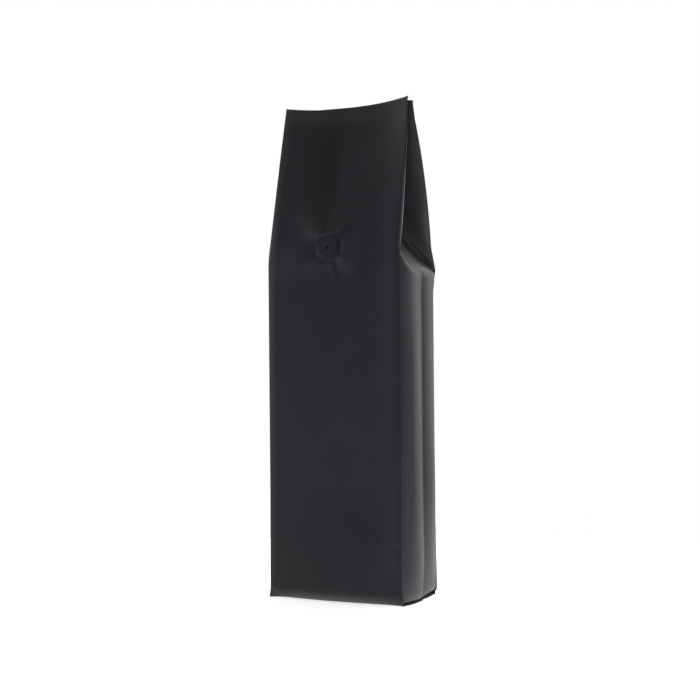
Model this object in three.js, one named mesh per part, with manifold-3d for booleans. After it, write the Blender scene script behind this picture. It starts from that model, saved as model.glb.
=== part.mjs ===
// Side gusset coffee pouch: a filled film bag, heat sealed across the top and standing on its
// folded base, with a one-way degassing valve set into the front panel.
// Millimetres, +Z up, front panel towards -Y, origin on the floor under the middle of the base.
import * as THREE from 'three';
import { mergeVertices } from 'three/addons/utils/BufferGeometryUtils.js';
import ManifoldModule from 'manifold-3d';

const { lerp, clamp, smoothstep } = THREE.MathUtils;

// Film web: panel fold to fold, and from a fold to the centre crease of the side gusset
const PANEL_WIDTH = 85.5;
const GUSSET_HALF = 26;
const FILM_EDGE = 0.5;

// Filled body: its depth at the folds, the front panel's stand at its left and right fold, and the
// swell of the walls, which is less near the floor and least in the back lobes there
const BODY_DEPTH = 45;
const FRONT_FORWARD_LEFT = -0.4;
const FRONT_FORWARD_RIGHT = 2;
const FRONT_SWELL = 2.8;
const BACK_SWELL = 3.55;
const LOBE_SWELL = 3.5;
const CREASE_SWELL = 2.6;
const FILL_START = 0.8;
const SIDE_FILL_START = 0.55;
const SIDE_FILL_HEIGHT = 24;
const FOOT_FLAT_BACK = 0.6;
const FOOT_FLAT_HEIGHT = 75;

// Heights above the floor
const HEIGHT = 289.9;
const SEAL_BAND = 12;
const SHOULDER = 197.4;
const BODY_FOOT = 12;

// Shoulder: how softly the walls turn in, the shelf of each gusset, the skew of the right side, the
// front's right corner and the ears of the back folds
const PANEL_SOFTNESS = 24;
const FOLD_SOFTNESS = 5;
const SHELF_RISE = 26;
const SHELF_CURVE = 1.5;
const SHOULDER_REACH = 60;
const FRONT_CORNER_RISE = 5.6;
const FRONT_CORNER_WIDTH = 0.7;
const BACK_CORNER_FALL = 5.6;
const RIGHT_SAG = 4.4;
const LEFT_SAG = 4;
const SAG_BELOW = 40;
const SAG_ABOVE = 16;
const FRONT_EAR = 1.2;
const FRONT_EAR_RISE = 3;
const FRONT_EAR_WIDTH = 7;
const EAR_ASIDE = 0.8;
const EAR_BACK = 3.4;
const EAR_BELOW = 15;
const EAR_ABOVE = 13;
const FRONT_BOW = 0.6;
const BACK_BOW = 5;

// Folded base: the spread of the foot, its rounded edges, the floor flap and the groove above it
const FOOT_SPREAD = 4.6;
const FOOT_SPREAD_HEIGHT = 70;
const CORNER_SPREAD = 0.15;
const LEFT_SPREAD_CURVE = 2.5;
const RIGHT_SPREAD_CURVE = 4;
const FOOT_CORNER_FORWARD = 1.4;
const FOOT_CORNER_HEIGHT = 130;
const FOOT_EAR = 2.4;
const FOOT_EAR_FROM = 4;
const FOOT_EAR_TO = 95;
const FOOT_DEPTH = 5.5;
const FOOT_RISE = 8;
const CORNER_DEPTH = 0.5;
const CORNER_RISE = 1.2;
const FLAP_TOP = 0.6;
const TUCK_LEVEL = 1;
const TUCK_DEPTH = 6;
const SIDE_FOOT = 1.6;
const SIDE_LIFT = -1;
const BACK_LIFT = 0.7;

// Top seal in plan: its shift to the right, middle, swing towards the ends, bow, twist over the band,
// and split ends; and the dip of its top edge, with the right corners of the front and of the back
const SEAL_HALF_WIDTH = 41.17;
const SEAL_ASIDE = 0.22;
const SEAL_MIDDLE = 4;
const SEAL_SWING = -3;
const SEAL_BOW = -5;
const SEAL_TWIST = -1.1;
const SPLIT_AT_FOOT = 11;
const SPLIT_AT_TOP = 6.5;
const SPLIT_CURVE = 1.5;
const TOP_DIP = 1.6;
const TOP_DIP_SKEW = -0.9;
const FRONT_TOP_RISE = 0.5;
const BACK_TOP_DROP = 1.2;

// Back seam: a fin seal folded flat to one side
const FIN_FROM = -1;
const FIN_TO = 9;
const FIN_STEP = 0.4;
const FIN_PROUD = 0.6;
const FIN_MARGIN = 1;

// Degassing valve in the front panel: a button in a groove, with a rim round it and a vent in it
const VALVE_X = -3.7;
const VALVE_Z = 204;
const VALVE_RADIUS = 9.2;
const VALVE_RIM_WIDTH = 0.5;
const VALVE_RIM_HEIGHT = 0.35;
const VALVE_GROOVE_RADIUS = 7.9;
const VALVE_BUTTON_RADIUS = 5;
const VALVE_BUTTON_HEIGHT = 0.8;
const VALVE_THICKNESS = 1;
const VALVE_HOLE_RADIUS = 0.8;
const VALVE_HOLE_DEPTH = 1.2;
const VALVE_GAP = 0.3;
const VALVE_HEADROOM = 3;
const VALVE_SEGMENTS = 48;

// Stations along the film and up the bag
const FRONT_STEPS = 14;
const BACK_STEPS = 12;
const HALF_STEPS = 7;
const FOOT_STEPS = 2;
const BODY_STEPS = 9;
const TURN_STEPS = 2;
const GABLE_STEPS = 8;
const SEAL_STEPS = 2;
const WELD = 0.001;

const SEAL_FOOT = HEIGHT - SEAL_BAND;
const SHELF_TOP = SHOULDER + SHELF_RISE;
const FRONT = -1;
const BACK = 1;
const LEFT = -1;
const RIGHT = 1;

// How far the panels have leant in, 0 along the body and 1 at the seal: the shoulder is a soft bend
// in the middle of a panel and a tight one at its folds
function lean(across, z) {
  const soft = lerp(PANEL_SOFTNESS, FOLD_SOFTNESS, across ** 2);
  const above = clamp(z, SHOULDER - soft, SEAL_FOOT) - SHOULDER;
  const eased = above < soft ? (above + soft) ** 2 / (4 * soft) : above;
  return eased / (SEAL_FOOT - SHOULDER);
}

// How far up the seal band, 0 at its foot and 1 at the top edge
function band(z) {
  return clamp((z - SEAL_FOOT) / SEAL_BAND, 0, 1);
}

function halfWidth(z) {
  return lerp(PANEL_WIDTH / 2, SEAL_HALF_WIDTH, lean(1, z));
}

// The filled bag spreads where it meets the floor, and least at its corners
function footSpread(across, z) {
  const spread = FOOT_SPREAD * (1 - smoothstep(z, 0, FOOT_SPREAD_HEIGHT));
  const curve = across > 0 ? RIGHT_SPREAD_CURVE : LEFT_SPREAD_CURVE;
  return spread * lerp(1, CORNER_SPREAD, Math.abs(across) ** curve);
}

// Rounded edge between a panel and the floor, tighter at the corners
function footInset(across, z) {
  const depth = lerp(FOOT_DEPTH, CORNER_DEPTH, across ** 8);
  const below = clamp(1 - z / lerp(FOOT_RISE, CORNER_RISE, across ** 8), 0, 1);
  return depth * (1 - Math.sqrt(1 - below ** 2));
}

// How far the front panel stands forward of the body's plain depth
function forward(across, z) {
  const corner = FOOT_CORNER_FORWARD * Math.max(across, 0) ** 2;
  const stand = lerp(FRONT_FORWARD_LEFT, FRONT_FORWARD_RIGHT, (across + 1) / 2);
  const fromEar = (z - SHOULDER - FRONT_EAR_RISE) / FRONT_EAR_WIDTH;
  const ear = FRONT_EAR * Math.max(across, 0) ** 8 * Math.exp(-(fromEar ** 2));
  return stand + ear + corner * (1 - smoothstep(z, 0, FOOT_CORNER_HEIGHT));
}

// The back folds stick out in an ear where they bend at the shoulder: 1 at its tip, 0 away from it
function shoulderEar(face, across, z) {
  if (face === FRONT) {
    return 0;
  }
  const above = z - SHOULDER;
  const reach = above > 0 ? EAR_ABOVE : EAR_BELOW;
  return across ** 6 * Math.max(1 - Math.abs(above) / reach, 0);
}

// The right corner of the back flares towards the foot
function footEar(face, across, z) {
  if (face === FRONT) {
    return 0;
  }
  const flare = smoothstep(z, TUCK_LEVEL, FOOT_EAR_FROM) * (1 - smoothstep(z, FOOT_EAR_FROM, FOOT_EAR_TO));
  return FOOT_EAR * Math.max(across, 0) ** 8 * flare;
}

function sealLine(across, z) {
  const turn = SEAL_SWING + SEAL_TWIST * band(z);
  return SEAL_MIDDLE + turn * across + SEAL_BOW * across ** 2;
}

// Half the opening between the front and back flaps of a split seal end
function sealOpening(across, z) {
  const split = lerp(SPLIT_AT_FOOT, SPLIT_AT_TOP, band(z)) / 2;
  const closed = 1 - GUSSET_HALF / SEAL_HALF_WIDTH;
  return split * clamp((Math.abs(across) - closed) / (1 - closed), 0, 1) ** SPLIT_CURVE;
}

// Depth of the front or back panel at a place across it, from -1 at the left fold to 1 at the right
function panelY(face, across, z) {
  const filled = lerp(FILL_START, 1, smoothstep(z, 0, SHOULDER / 3));
  const swell = (face === FRONT ? FRONT_SWELL : BACK_SWELL) * filled * (1 - across ** 2);
  const stand = face === FRONT ? forward(across, z) : 0;
  const ears = EAR_BACK * shoulderEar(face, across, z) + footEar(face, across, z);
  const out = BODY_DEPTH / 2 + footSpread(across, z) + swell + stand + ears - footInset(across, z);
  const seal = sealLine(across, z) + face * (sealOpening(across, z) + FILM_EDGE);
  const leant = lean(across, z);
  const bow = (face === FRONT ? FRONT_BOW : BACK_BOW) * Math.max(across, 0) ** 2;
  return lerp(face * out, seal, leant) + bow * 4 * leant * (1 - leant);
}

// The right shoulder stands higher at the front than at the back
function panelRise(face, across, z) {
  const corner = face === FRONT ? FRONT_CORNER_RISE : -BACK_CORNER_FALL;
  const below = smoothstep(z, SHOULDER - SHOULDER_REACH, SHOULDER);
  const above = smoothstep(z, SHOULDER, SEAL_FOOT);
  return corner * Math.max(across, 0) ** 1.5 * below * (1 - above);
}

// The top edge dips between its corners
function topRise(face, across, z) {
  const dip = (TOP_DIP + TOP_DIP_SKEW * across) * (1 - across ** 2);
  const corner = face === FRONT ? FRONT_TOP_RISE : -BACK_TOP_DROP;
  return band(z) * (corner * Math.max(across, 0) ** 4 - dip);
}

// The edge of the shelf sags between the corners of the shoulder
function gussetRise(side, face, q, z) {
  const below = smoothstep(z, SHOULDER - SAG_BELOW, SHOULDER);
  const near = below * (1 - smoothstep(z, SHOULDER, SHOULDER + SAG_ABOVE));
  if (side === LEFT) {
    return -LEFT_SAG * (1 - (1 - q) ** 2) * near;
  }
  const corner = face === FRONT ? Math.max(1 - q / FRONT_CORNER_WIDTH, 0) ** 2 : 1 - q;
  return lerp(-RIGHT_SAG * near, panelRise(face, RIGHT, z), corner);
}

// The seal lies a little to the right of the body
function shift(z) {
  return SEAL_ASIDE * lean(1, z);
}

function panelPoint(face, across, z, proud = 0) {
  const x = shift(z) + across * (halfWidth(z) + EAR_ASIDE * shoulderEar(face, across, z));
  const y = panelY(face, across, z) + face * proud;
  return new THREE.Vector3(x, y, z + panelRise(face, across, z) + topRise(face, across, z));
}

// How far the gusset's centre crease has folded in from the panel edges
function foldReach(side, z) {
  const opening = (panelY(BACK, side, z) - panelY(FRONT, side, z)) / 2;
  return Math.sqrt(GUSSET_HALF ** 2 - opening ** 2);
}

// Share of the shelf's way in at a height, and the height at a share: flat at first, then steep
function shelfClimb(z) {
  return 1 - (1 - (z - SHOULDER) / SHELF_RISE) ** SHELF_CURVE;
}

function shelfHeight(climb) {
  return SHOULDER + SHELF_RISE * (1 - (1 - climb) ** (1 / SHELF_CURVE));
}

// Side gusset below the shoulder: two lobes pushed out by the contents, with a crease between them
function lobe(face, q, z) {
  const filled = lerp(SIDE_FILL_START, 1, smoothstep(z, 0, SIDE_FILL_HEIGHT));
  const swell = filled * smoothstep(SHOULDER - z, 0, BODY_FOOT);
  const flat = face === BACK ? FOOT_FLAT_BACK * (1 - smoothstep(z, 0, FOOT_FLAT_HEIGHT)) : 0;
  const tuck = z === TUCK_LEVEL ? TUCK_DEPTH * q : 0;
  return swell * (CREASE_SWELL * q + LOBE_SWELL * (1 - flat) * 4 * q * (1 - q)) - tuck;
}

// The foot of a side hangs down at the crease, and the back half of it stands up again beside that
function footLift(face, q, z) {
  const lift = SIDE_LIFT * q ** 2 + (face === BACK ? BACK_LIFT * q * (1 - q) * 4 : 0);
  return lift * Math.min(z / SIDE_FOOT, 1) * (1 - smoothstep(z, SIDE_FOOT, BODY_FOOT));
}

// Gusset wall on the shelf, folded in along the diagonal crease
function shelfWall(side, face, q, z, foldY, middle) {
  const climb = shelfClimb(z);
  const cornerY = panelY(face, side, SHOULDER) - face * FILM_EDGE;
  const diagonalY = lerp(cornerY, middle, climb);
  const outward = -foldReach(side, SHELF_TOP) * Math.min(q, climb);
  if (q < climb) {
    return [outward, lerp(foldY, diagonalY, q / climb)];
  }
  return [outward, climb < 1 ? lerp(diagonalY, middle, (q - climb) / (1 - climb)) : middle];
}

// Gusset wall above the shelf, folded flat between the panels
function foldedWall(side, face, q, z, foldY) {
  const width = halfWidth(z);
  const reach = foldReach(side, z);
  const across = side * (1 - (reach * q) / width);
  const centre = side * (1 - reach / width);
  const tip = (panelY(FRONT, centre, z) + panelY(BACK, centre, z)) / 2;
  const limit = panelY(face, across, z) - face * FILM_EDGE;
  const wall = lerp(foldY, tip, q);
  return [-reach * q, face === FRONT ? Math.max(wall, limit) : Math.min(wall, limit)];
}

// Point of a side gusset, q from 0 at the fold to 1 at the centre crease, on its front or back half
function gussetPoint(side, face, q, z) {
  const width = halfWidth(z);
  const frontY = panelY(FRONT, side, z);
  const backY = panelY(BACK, side, z);
  const foldY = (face === FRONT ? frontY : backY) - face * FILM_EDGE;
  const middle = (frontY + backY + forward(side, z) * (1 - lean(side, z))) / 2;
  let outward = 0;
  let y = 0;
  if (z <= SHOULDER) {
    outward = lobe(face, q, z);
    y = lerp(foldY, middle, q);
  } else if (z < SHELF_TOP) {
    [outward, y] = shelfWall(side, face, q, z, foldY, middle);
  } else {
    [outward, y] = foldedWall(side, face, q, z, foldY);
  }
  const across = z < SHELF_TOP ? side : side * (1 + outward / width);
  outward += EAR_ASIDE * shoulderEar(face, side, z) * (1 - q) ** 3;
  const toFront = (1 - face * (1 - q)) / 2;
  const top = lerp(topRise(BACK, across, z), topRise(FRONT, across, z), toFront);
  const rise = footLift(face, q, z) + gussetRise(side, face, q, z) + top;
  return new THREE.Vector3(shift(z) + side * (width + outward), y, z + rise);
}

// Stations across the back panel from right to left, with the steps of the fin seam
function backStations() {
  const toAcross = (x) => x / (PANEL_WIDTH / 2);
  const even = Array.from({ length: BACK_STEPS + 1 }, (_, i) => lerp(1, -1, i / BACK_STEPS));
  const from = toAcross(FIN_FROM - FIN_MARGIN);
  const to = toAcross(FIN_TO + FIN_MARGIN);
  const clear = even.filter((x) => x < from || x > to);
  const stations = [
    ...clear.map((x) => ({ x, proud: 0 })),
    { x: toAcross(FIN_TO), proud: 0 },
    { x: toAcross(FIN_TO - FIN_STEP), proud: FIN_PROUD },
    { x: toAcross(FIN_FROM + FIN_STEP), proud: FIN_PROUD },
    { x: toAcross(FIN_FROM), proud: 0 },
  ];
  return stations.sort((a, b) => b.x - a.x);
}

// One side gusset at a height, from one panel's fold over the crease to the other panel's fold
function gussetRow(side, firstFace, z) {
  const points = [];
  for (let i = 0; i <= HALF_STEPS; i += 1) {
    points.push(gussetPoint(side, firstFace, i / HALF_STEPS, z));
  }
  for (let i = HALF_STEPS - 1; i >= 0; i -= 1) {
    points.push(gussetPoint(side, -firstFace, i / HALF_STEPS, z));
  }
  return points;
}

// One closed ring of film around the bag, anticlockwise seen from above
function ring(z) {
  const points = [];
  for (let i = 0; i <= FRONT_STEPS; i += 1) {
    points.push(panelPoint(FRONT, lerp(-1, 1, i / FRONT_STEPS), z));
  }
  points.push(...gussetRow(RIGHT, FRONT, z));
  for (const { x, proud } of backStations()) {
    points.push(panelPoint(BACK, x, z, proud * smoothstep(z, FLAP_TOP, BODY_FOOT)));
  }
  points.push(...gussetRow(LEFT, BACK, z));
  return points;
}

// Evenly spaced heights after a start, up to and with an end
function steps(from, to, count) {
  return Array.from({ length: count }, (_, i) => lerp(from, to, (i + 1) / count));
}

function levels() {
  return [
    0,
    FLAP_TOP,
    TUCK_LEVEL,
    SIDE_FOOT,
    ...steps(SIDE_FOOT, FOOT_RISE, FOOT_STEPS),
    BODY_FOOT,
    ...steps(BODY_FOOT, SHOULDER - BODY_FOOT, BODY_STEPS),
    ...steps(SHOULDER - BODY_FOOT, SHOULDER, TURN_STEPS),
    ...steps(0, 1, HALF_STEPS).map(shelfHeight),
    ...steps(SHELF_TOP, SEAL_FOOT, GABLE_STEPS),
    ...steps(SEAL_FOOT, HEIGHT, SEAL_STEPS),
  ];
}

// Columns whose cells are split upwards to the left, so that the shelf creases run along edges
function leftSplitColumns(count) {
  const rightBack = FRONT_STEPS + 1 + HALF_STEPS;
  const leftFront = count - HALF_STEPS;
  return (column) => (column >= rightBack && column < rightBack + HALF_STEPS) || column >= leftFront;
}

// Closed solid through the rings, capped flat at the base and along the top edge
function filmGeometry() {
  const rings = levels().map(ring);
  const count = rings[0].length;
  const splitsLeft = leftSplitColumns(count);
  const index = [];
  for (let level = 0; level + 1 < rings.length; level += 1) {
    for (let column = 0; column < count; column += 1) {
      const next = (column + 1) % count;
      const a = level * count + column;
      const b = level * count + next;
      const c = a + count;
      const d = b + count;
      index.push(...(splitsLeft(column) ? [a, b, c, b, d, c] : [a, b, d, a, d, c]));
    }
  }
  const flat = (points) => points.map((p) => new THREE.Vector2(p.x, p.y));
  const top = (rings.length - 1) * count;
  for (const [a, b, c] of THREE.ShapeUtils.triangulateShape(flat(rings[0]), [])) {
    index.push(a, c, b);
  }
  for (const [a, b, c] of THREE.ShapeUtils.triangulateShape(flat(rings.at(-1)), [])) {
    index.push(top + a, top + b, top + c);
  }
  const geometry = new THREE.BufferGeometry().setFromPoints(rings.flat());
  geometry.setIndex(index);
  return geometry;
}

// Place on the front panel where the valve sits, with +Z along the film's outward normal
function valvePlace() {
  const across = VALVE_X / halfWidth(VALVE_Z);
  const span = VALVE_RADIUS / halfWidth(VALVE_Z);
  const at = (dx, dz) => panelPoint(FRONT, across + dx, VALVE_Z + dz);
  const along = at(span, 0).sub(at(-span, 0)).normalize();
  const up = at(0, VALVE_RADIUS).sub(at(0, -VALVE_RADIUS)).normalize();
  const out = along.clone().cross(up).normalize();
  const basis = new THREE.Matrix4().makeBasis(along, out.clone().cross(along), out);
  return basis.setPosition(at(0, 0));
}

// Button with a blind vent, sloping down into a groove inside a low rim
function valveGeometry() {
  const slopeMiddle = (VALVE_BUTTON_RADIUS + VALVE_GROOVE_RADIUS) / 2;
  const profile = [
    [0, -VALVE_THICKNESS],
    [VALVE_RADIUS, -VALVE_THICKNESS],
    [VALVE_RADIUS, VALVE_RIM_HEIGHT],
    [VALVE_RADIUS - VALVE_RIM_WIDTH, VALVE_RIM_HEIGHT],
    [VALVE_GROOVE_RADIUS, 0],
    [slopeMiddle, VALVE_BUTTON_HEIGHT / 2],
    [VALVE_BUTTON_RADIUS, VALVE_BUTTON_HEIGHT],
    [VALVE_HOLE_RADIUS, VALVE_BUTTON_HEIGHT],
    [VALVE_HOLE_RADIUS, VALVE_BUTTON_HEIGHT - VALVE_HOLE_DEPTH],
    [0, VALVE_BUTTON_HEIGHT - VALVE_HOLE_DEPTH],
  ].map(([radius, height]) => new THREE.Vector2(radius, height));
  return new THREE.LatheGeometry(profile, VALVE_SEGMENTS).rotateX(Math.PI / 2);
}

// Round seat in the film that leaves a gap below and around the valve
function seatGeometry() {
  const radius = VALVE_RADIUS + VALVE_GAP;
  const depth = VALVE_THICKNESS + VALVE_GAP;
  const tall = depth + VALVE_HEADROOM;
  const cutter = new THREE.CylinderGeometry(radius, radius, tall, VALVE_SEGMENTS).rotateX(Math.PI / 2);
  return cutter.translate(0, 0, tall / 2 - depth);
}

// Positions alone, with the vertices that meet made one
function weld(geometry) {
  const bare = new THREE.BufferGeometry().setAttribute('position', geometry.getAttribute('position'));
  return mergeVertices(bare.setIndex(geometry.getIndex()), WELD);
}

const wasm = await ManifoldModule();
wasm.setup();
const { Manifold, Mesh } = wasm;

function toSolid(geometry) {
  const welded = weld(geometry);
  const triVerts = Uint32Array.from(welded.getIndex().array);
  const vertProperties = Float32Array.from(welded.getAttribute('position').array);
  const mesh = new Mesh({ numProp: 3, triVerts, vertProperties });
  mesh.merge();
  return new Manifold(mesh);
}

function toGeometry(solid) {
  const mesh = solid.getMesh();
  const geometry = new THREE.BufferGeometry();
  geometry.setAttribute('position', new THREE.BufferAttribute(new Float32Array(mesh.vertProperties), 3));
  geometry.setIndex(new THREE.BufferAttribute(new Uint32Array(mesh.triVerts), 1));
  return geometry;
}

function namedMesh(name, geometry, look) {
  const welded = weld(geometry);
  welded.computeVertexNormals();
  const mesh = new THREE.Mesh(welded, new THREE.MeshStandardMaterial(look));
  mesh.name = name;
  return mesh;
}

const place = valvePlace();
const pouchSolid = toSolid(filmGeometry()).subtract(toSolid(seatGeometry().applyMatrix4(place)));

const pouch = namedMesh('pouch', toGeometry(pouchSolid), {
  color: 0x2a2b2e,
  roughness: 0.45,
  metalness: 0,
});
const valve = namedMesh('valve', valveGeometry().applyMatrix4(place), {
  color: 0x27282b,
  roughness: 0.45,
  metalness: 0,
});

const group = new THREE.Group();
group.name = 'side_gusset_coffee_pouch';
group.add(pouch, valve);

export default group;
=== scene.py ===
"""A filled side gusset coffee pouch of matte black film with a one-way valve, as a Blender add-on."""

import math

import bmesh
import bpy
from bpy.props import FloatProperty, FloatVectorProperty, PointerProperty
from mathutils import Euler, Matrix, Vector, noise


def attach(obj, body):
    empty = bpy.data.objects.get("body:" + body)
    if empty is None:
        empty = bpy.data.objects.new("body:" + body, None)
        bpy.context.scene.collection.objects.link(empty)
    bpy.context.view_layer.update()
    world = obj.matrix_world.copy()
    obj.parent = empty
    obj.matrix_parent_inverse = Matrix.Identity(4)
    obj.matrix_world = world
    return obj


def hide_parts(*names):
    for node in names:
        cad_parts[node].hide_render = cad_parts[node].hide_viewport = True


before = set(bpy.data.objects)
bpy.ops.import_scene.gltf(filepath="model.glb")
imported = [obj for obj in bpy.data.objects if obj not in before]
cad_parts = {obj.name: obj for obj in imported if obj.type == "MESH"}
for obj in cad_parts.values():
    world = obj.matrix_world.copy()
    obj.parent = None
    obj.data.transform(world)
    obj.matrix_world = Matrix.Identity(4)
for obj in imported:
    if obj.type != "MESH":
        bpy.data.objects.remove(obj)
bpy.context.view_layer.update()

bl_info = {
    "name": "Side Gusset Coffee Pouch",
    "version": (1, 0, 0),
    "blender": (4, 5, 0),
    "location": "3D View > Sidebar > Pouch",
    "description": "Folds flat film into a filled pouch and fits its one-way valve",
    "category": "Add Mesh",
}

MM = 0.001

# The two panels and the two gussets, by the sign of their side of the frame.
FRONT, BACK = -1, 1
LEFT, RIGHT = -1, 1

# All film sizes below are millimetres; shares run from 0 to 1, or from -1 to 1 across a panel.
# A range says where a form sets in and where it is full, and in four values also where it fades and ends.
# A value named AT holds a centre and a width.
MERGE = 0.01
FILM_EDGE = 0.5
FOLD_EDGE = 1.7
FOLD_ROUND = (0.35, 0.55)
FOLD_SHARES = (0.15, 0.5, 0.85)
FOLD_POWER = 8
EDGE_ROLL = 0.35
EDGE_ROLL_FROM = 0.9
EDGE_ROLL_START = (2, 12)
LEFT_ROLL = (0.1, 0.42)
LEFT_CURL = 1.1
LEFT_CURL_FROM = 0.84
LEFT_CURL_FLARE = 0.72
LEFT_CURL_START = (20, 120)
LEFT_CURL_FADE = 16

# How far the contents push each wall out.
FRONT_FORWARD = (-0.4, 2)
FRONT_SWELL = 2.8
BACK_SWELL = 3.55
LOBE_SWELL = 3.5
CREASE_SWELL = 2.6
FILL_START = 0.8
FILL_SHARE = 1 / 3
SIDE_FILL_START = 0.55
SIDE_FILL_HEIGHT = 24
FOOT_FLAT_HEIGHT = 75
FOOT_FLAT_BACK = 0.6
LOBE_FADE = (-8, 4)

# The shoulder, where the walls turn in towards the seal.
PANEL_SOFTNESS = 24
FOLD_SOFTNESS = 5
GABLE_EASE = (4, 14)
SHELF_RISE = 26
SHELF_ROUND = 4
SHELF_CURVE = 1.5
SHOULDER_REACH = 60
SHOULDER_POWER = 1.5
FRONT_CORNER_RISE = 5.6
FRONT_CORNER_WIDTH = 0.7
BACK_CORNER_FALL = 5.6
RIGHT_SAG = 4.4
LEFT_SAG = 4
SAG_REACH = (40, 16)
FRONT_EAR = 1.2
FRONT_EAR_RISE = 3
FRONT_EAR_WIDTH = 7
SHOULDER_EAR = (0.8, 3.4)
SHOULDER_EAR_REACH = (15, 13)
SHOULDER_EAR_POWER = 6
FRONT_BOW = 0.6
BACK_BOW = 5
WALL_BOW = 2
WALL_BOW_PEAK = 27 / 4
WALL_BOW_SHARE = 0.35
SECOND_CREASE = 6
SECOND_CREASE_WIDTH = 1.3
SECOND_CREASE_PROUD = 0.35
SECOND_CREASE_FADE = 10

# The foot, where the panels fold flat under the sides.
FOOT_SPREAD = 4.6
FOOT_SPREAD_HEIGHT = 70
FOOT_SPREAD_LOST = 0.85
LEFT_SPREAD_POWER = 2.5
RIGHT_SPREAD_POWER = 4
FOOT_CORNER_FORWARD = 1.4
FOOT_CORNER_HEIGHT = 130
LEFT_TOE = 1.6
LEFT_TOE_HEIGHT = 5
RIGHT_TOE = 1.2
RIGHT_TOE_HEIGHT = 11
FOOT_ROUND = (5.5, 8)
CORNER_ROUND = (0.5, 1.2)
FOOT_EAR = 2.4
FOOT_EAR_HEIGHTS = (1, 3, 4, 95)
FLAP_TOP = 0.6
TUCK = (0.6, 0.8, 1.3, 1.6)
TUCK_DEPTH = 6
SIDE_ROUND = (2.6, 5)
SIDE_LIFT = -1.4
BACK_LIFT = 0.7
BODY_FOOT = 12

# The base, by shares of the way out from its middle seam, and by x where it meets the side flaps.
BASE_SLIT = 0.03
BASE_SEAM = 0.12
BASE_SEAM_RISE = 0.5
BASE_PANEL = (0, 0.1, 0.85, 0.98)
BASE_PANEL_RISE = 0.25
BASE_FIN = 0.55
BASE_FLAPS = (26, 38)
BASE_INSET = 0.985

# The heat seal across the top and its open ends.
SEAL_ASIDE = 0.22
SEAL_MIDDLE = 4
SEAL_SWING = -3
SEAL_BOW = -5
SEAL_TWIST = -1.1
FOOT_SPLIT = 11
TOP_SPLIT = 6.5
SPLIT_POWER = 1.5
TOP_DIP = 1.6
TOP_DIP_SKEW = -0.9
BACK_TOP_DROP = 1.2
FRONT_TOP_RISE = 0.5
TOP_CORNER_POWER = 4
LIP_BEND = 1
LIP_HEIGHT = 2.6
LIP_ACROSS = (0, 0.5)
RIB_PITCH = 1.7
RIB_DEPTH = 0.05
RIB_START = (0.4, 1)
RIB_END = (3, 2)
RIB_ACROSS = (0.1, 0.7)
SEAL_CREASE_DEPTH = 0.2
SEAL_CREASE_WIDTH = 0.5
SEAL_CREASE_REACH = 2
SEAL_CREASE_POWER = 6

# The lap seam down the back.
FIN = (-1, 9)
FIN_STEP = 0.4
FIN_PROUD = 0.6

# Soft waves in the panels: height, length across, length up and place in the noise.
FRONT_WAVES = ((0.35, 34, 55, 3.1), (0.1, 12, 16, 8.7))
BACK_WAVES = ((0.5, 30, 50, 17.3), (0.12, 12, 15, 21.9))
WAVES_START = (4, 30)
WAVES_EDGE = (0.9, 1)

# A short wrinkle that the right fold has taken near its foot.
WRINKLE_X = 37.5
WRINKLE_LENGTH = 5
WRINKLE_START = (0, 0.8)
WRINKLE_END = 1.3
WRINKLE_HEIGHTS = (34.5, 31.5)
WRINKLE_DEPTH = 0.3
WRINKLE_WIDTH = 1.4

# Puckers in the film round the valve: angle from the right in degrees, length, width, height.
PUCKERS = (
    (138, 32, 4, 2.2),
    (92, 20, 2.6, 0.9),
    (60, 16, 2, 0.7),
    (2, 20, 3.4, 1.2),
    (-42, 22, 3, 1.5),
    (-72, 18, 2.2, 0.9),
    (-104, 18, 2.2, 0.9),
    (-138, 20, 3.4, 1.2),
    (172, 16, 2.2, 0.4),
)
PUCKER_SPREAD = 14
PUCKER_START = (-1, 2)
PUCKER_FULL = 1
PUCKER_REACH = 4
SEAT_DEPTH = 1.2
SEAT_MARGIN = (0.9, 0.3)

# Painted light on the film round the valve, and painted shade where below 0: angle, length, width, strength.
PUCKER_LIGHT_AND_SHADE = (
    (138, 30, 3, 0.34),
    (105, 16, 2, -0.3),
    (86, 18, 1.6, 0.12),
    (57, 14, 1.6, 0.14),
    (42, 16, 2, -0.25),
    (-4, 18, 4, 0.08),
    (-24, 10, 1.6, -0.2),
    (-42, 20, 2.6, 0.34),
    (-60, 12, 1.4, -0.3),
    (-74, 16, 1.6, 0.18),
    (-103, 16, 1.8, 0.16),
    (-134, 20, 2.8, 0.2),
    (-154, 12, 2, -0.2),
)

# Where the film is paler: whitened along hard folds and creases, partly a painted highlight, with painted
# light and painted highlights on its edges, shelf, far flap and front.
# Fold whitening, partly a painted highlight along the folds.
FOLD_WHITENING_AND_HIGHLIGHT = (0.15, 0.43)
FOLD_PALE_EASE = 10
FOLD_PALE_WIDTH = 0.5
NEAR_FOLD_FADE = 0.85
NEAR_FOLD_HEIGHTS = (228, 254)
# Painted highlight along the top edge.
TOP_EDGE_HIGHLIGHT = 0.43
TOP_EDGE_HIGHLIGHT_HEIGHT = 0.7
CREASE_WEAR = 0.17
# Painted highlight along the gusset's bottom edge, just above the tuck.
FOOT_EDGE_HIGHLIGHT = 0.3
FOOT_EDGE_HIGHLIGHT_WIDTH = 0.9
# Painted highlight along the front's left edge.
LEFT_EDGE_HIGHLIGHT = 0.9
LEFT_EDGE_HIGHLIGHT_WIDTH = 3
# Painted light that lifts the shade along the shelf's crease.
SHELF_CREASE_LIGHT = 0.26
SHELF_CREASE_LIGHT_WIDTH = 0.3
SHELF_CREASE_LIGHT_CLIMB = (0.1, 0.3, 0.8, 0.98)
ON_CREASE = 0.01
# Painted light on the inside of the far flap near the top of the pocket.
FAR_FLAP_PALE = 0.3
FAR_FLAP_ACROSS = (0.05, 0.45)
FAR_FLAP_HEIGHTS = (235, 255)
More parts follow.
